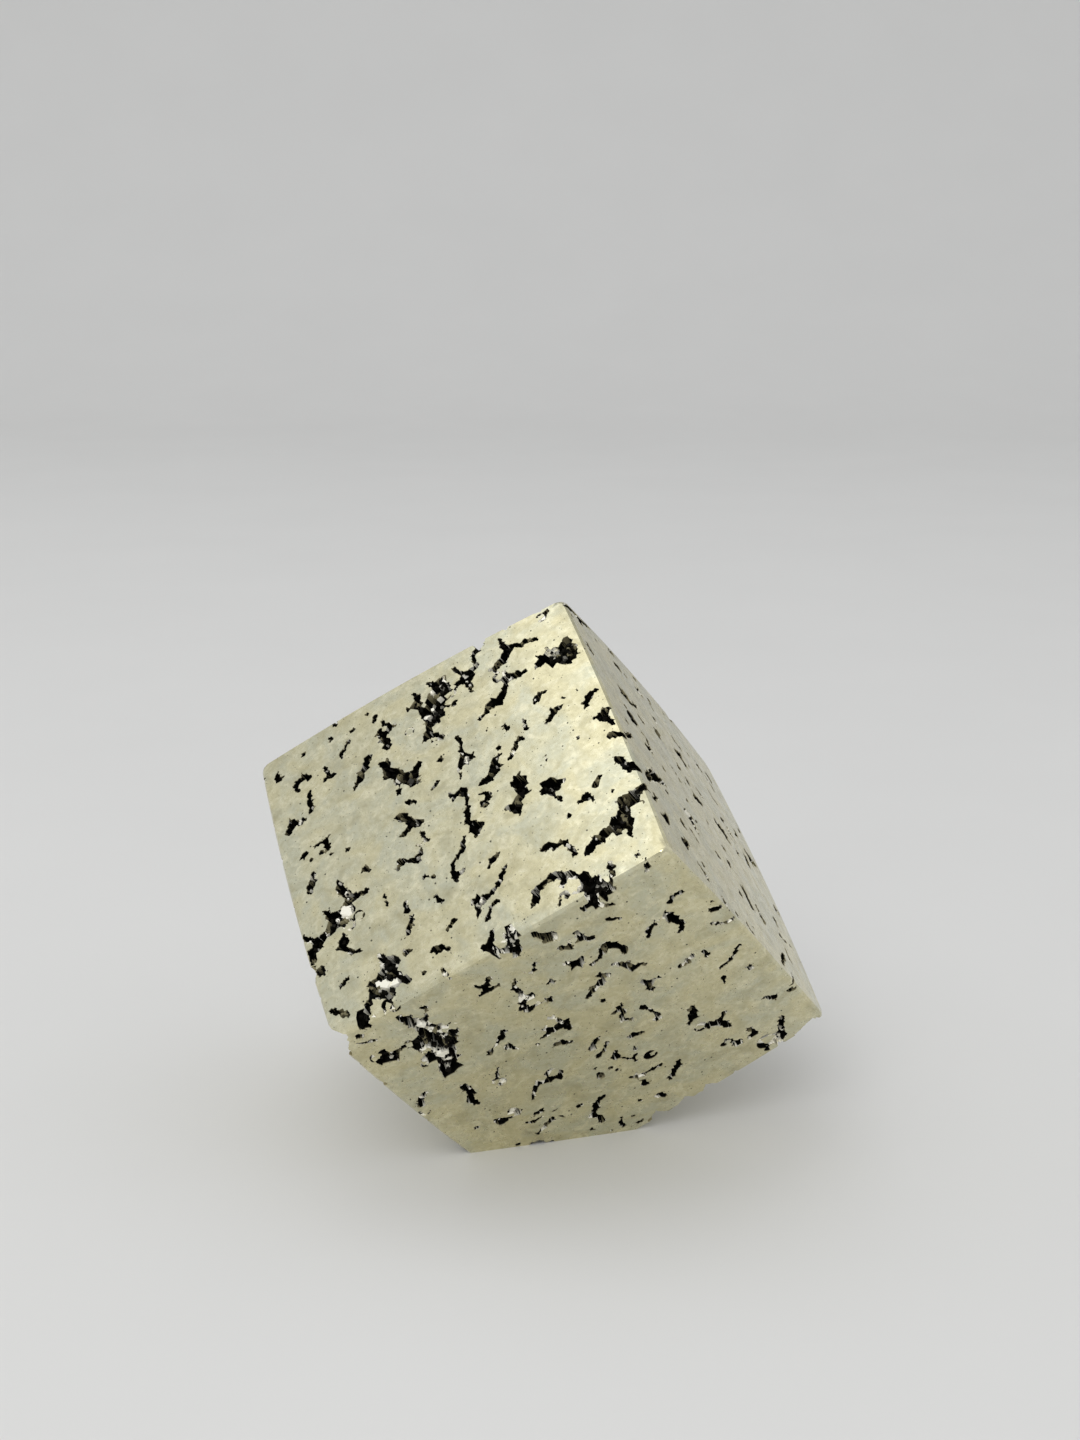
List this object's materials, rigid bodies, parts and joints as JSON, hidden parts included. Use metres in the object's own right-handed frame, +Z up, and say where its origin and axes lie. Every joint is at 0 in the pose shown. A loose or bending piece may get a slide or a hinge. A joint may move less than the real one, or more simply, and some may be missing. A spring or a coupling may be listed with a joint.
{
  "type": "polished pyrite cube",
  "caption": "Polished natural pyrite cube, pitted with vugs, standing tilted on a small facet where one corner was cut away.",
  "frame": {"origin": "centre of the triangular facet that the cube rests on", "axes": "+Z up, out of the surface it stands on; +X to the right and +Y away, seen with the near edge in front"},
  "size_m": [0.0788, 0.0715, 0.0744],
  "materials": {
    "pyrite": "ground and polished metallic pyrite with dark open vugs"
  },
  "bodies": {
    "root": {"pyrite_cube": "pyrite"}
  },
  "joints": []
}
